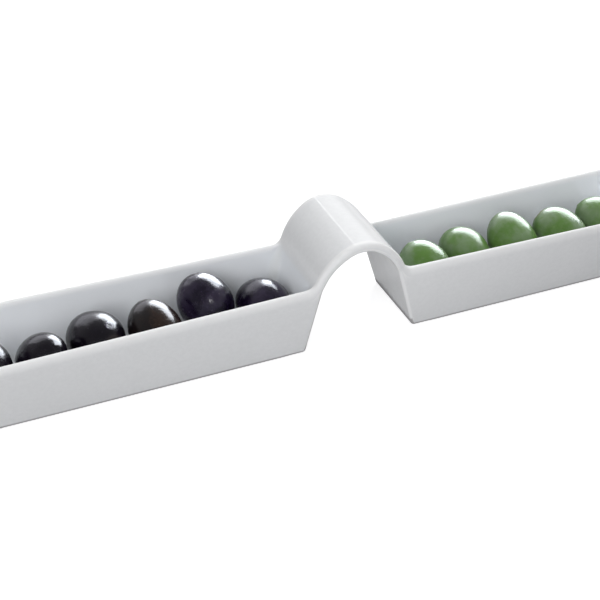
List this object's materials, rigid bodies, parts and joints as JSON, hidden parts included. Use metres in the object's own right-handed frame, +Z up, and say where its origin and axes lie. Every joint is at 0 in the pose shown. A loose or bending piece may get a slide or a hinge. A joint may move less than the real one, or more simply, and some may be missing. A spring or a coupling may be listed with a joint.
{
  "type": "olive dish",
  "caption": "Long white porcelain dish with two slender troughs joined by an arched bridge handle, holding loose dark and green olives.",
  "frame": {"origin": "on the table, under the middle of the bridge", "axes": "+X along the dish towards the trough with the green olives, +Y across it towards the far side, +Z up"},
  "size_m": [0.4, 0.0496, 0.0475],
  "materials": {
    "porcelain": "glossy",
    "dark_skin": "glossy",
    "green_skin": "glossy"
  },
  "bodies": {
    "dish": {"porcelain_dish": "porcelain"},
    "dark_olive_1": {"dark_olive_1": "dark_skin"},
    "dark_olive_2": {"dark_olive_2": "dark_skin"},
    "dark_olive_3": {"dark_olive_3": "dark_skin"},
    "dark_olive_4": {"dark_olive_4": "dark_skin"},
    "dark_olive_5": {"dark_olive_5": "dark_skin"},
    "dark_olive_6": {"dark_olive_6": "dark_skin"},
    "green_olive_1": {"green_olive_1": "green_skin"},
    "green_olive_2": {"green_olive_2": "green_skin"},
    "green_olive_3": {"green_olive_3": "green_skin"},
    "green_olive_4": {"green_olive_4": "green_skin"},
    "green_olive_5": {"green_olive_5": "green_skin"}
  },
  "joints": [
    {"name": "dark_olive_1_lift", "type": "slide", "parent": "dish", "child": "dark_olive_1", "axis": [0, 0, 1], "range_m": [0, 0.06]},
    {"name": "dark_olive_2_lift", "type": "slide", "parent": "dish", "child": "dark_olive_2", "axis": [0, 0, 1], "range_m": [0, 0.06]},
    {"name": "dark_olive_3_lift", "type": "slide", "parent": "dish", "child": "dark_olive_3", "axis": [0, 0, 1], "range_m": [0, 0.06]},
    {"name": "dark_olive_4_lift", "type": "slide", "parent": "dish", "child": "dark_olive_4", "axis": [0, 0, 1], "range_m": [0, 0.06]},
    {"name": "dark_olive_5_lift", "type": "slide", "parent": "dish", "child": "dark_olive_5", "axis": [0, 0, 1], "range_m": [0, 0.06]},
    {"name": "dark_olive_6_lift", "type": "slide", "parent": "dish", "child": "dark_olive_6", "axis": [0, 0, 1], "range_m": [0, 0.06]},
    {"name": "green_olive_1_lift", "type": "slide", "parent": "dish", "child": "green_olive_1", "axis": [0, 0, 1], "range_m": [0, 0.06]},
    {"name": "green_olive_2_lift", "type": "slide", "parent": "dish", "child": "green_olive_2", "axis": [0, 0, 1], "range_m": [0, 0.06]},
    {"name": "green_olive_3_lift", "type": "slide", "parent": "dish", "child": "green_olive_3", "axis": [0, 0, 1], "range_m": [0, 0.06]},
    {"name": "green_olive_4_lift", "type": "slide", "parent": "dish", "child": "green_olive_4", "axis": [0, 0, 1], "range_m": [0, 0.06]},
    {"name": "green_olive_5_lift", "type": "slide", "parent": "dish", "child": "green_olive_5", "axis": [0, 0, 1], "range_m": [0, 0.06]}
  ]
}
